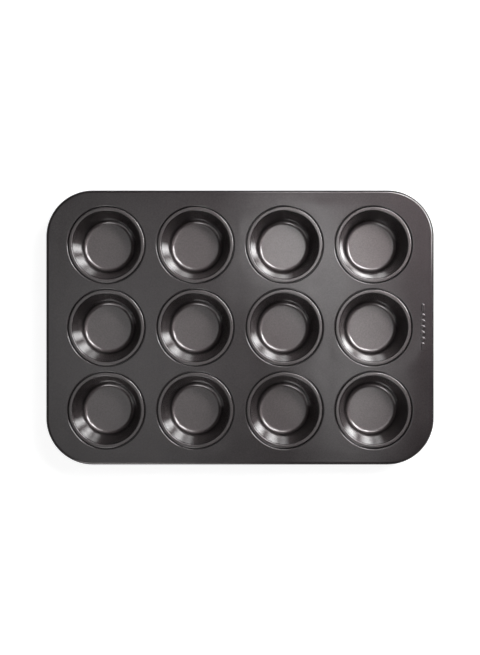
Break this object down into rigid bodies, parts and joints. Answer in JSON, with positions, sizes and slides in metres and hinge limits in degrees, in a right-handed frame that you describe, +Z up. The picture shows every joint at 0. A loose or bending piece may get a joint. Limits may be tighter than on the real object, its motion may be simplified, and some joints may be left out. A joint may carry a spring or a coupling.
{
  "type": "muffin tin",
  "caption": "Rectangular steel muffin tin: a flat frame sheet with a curled, wire-filled edge, holding rows of tapered round cups seamed into collared holes.",
  "frame": {"origin": "the point midway between the two middle cups of the middle row, on the plane that the cup bases stand on", "axes": "+X along the long side, from the first column of cups to the fourth; +Y along the short side, towards the first row; +Z up, out of the cup mouths"},
  "size_m": [0.4, 0.283, 0.034],
  "materials": {
    "nonstick_coating": "dark grey satin non-stick coating with a fine metallic fleck",
    "rim_wire": "plain drawn steel wire"
  },
  "bodies": {
    "root": {"frame": "nonstick_coating", "rim_wire": "rim_wire", "cup_row1_col1": "nonstick_coating", "cup_row1_col2": "nonstick_coating", "cup_row1_col3": "nonstick_coating", "cup_row1_col4": "nonstick_coating", "cup_row2_col1": "nonstick_coating", "cup_row2_col2": "nonstick_coating", "cup_row2_col3": "nonstick_coating", "cup_row2_col4": "nonstick_coating", "cup_row3_col1": "nonstick_coating", "cup_row3_col2": "nonstick_coating", "cup_row3_col3": "nonstick_coating", "cup_row3_col4": "nonstick_coating"}
  },
  "joints": []
}
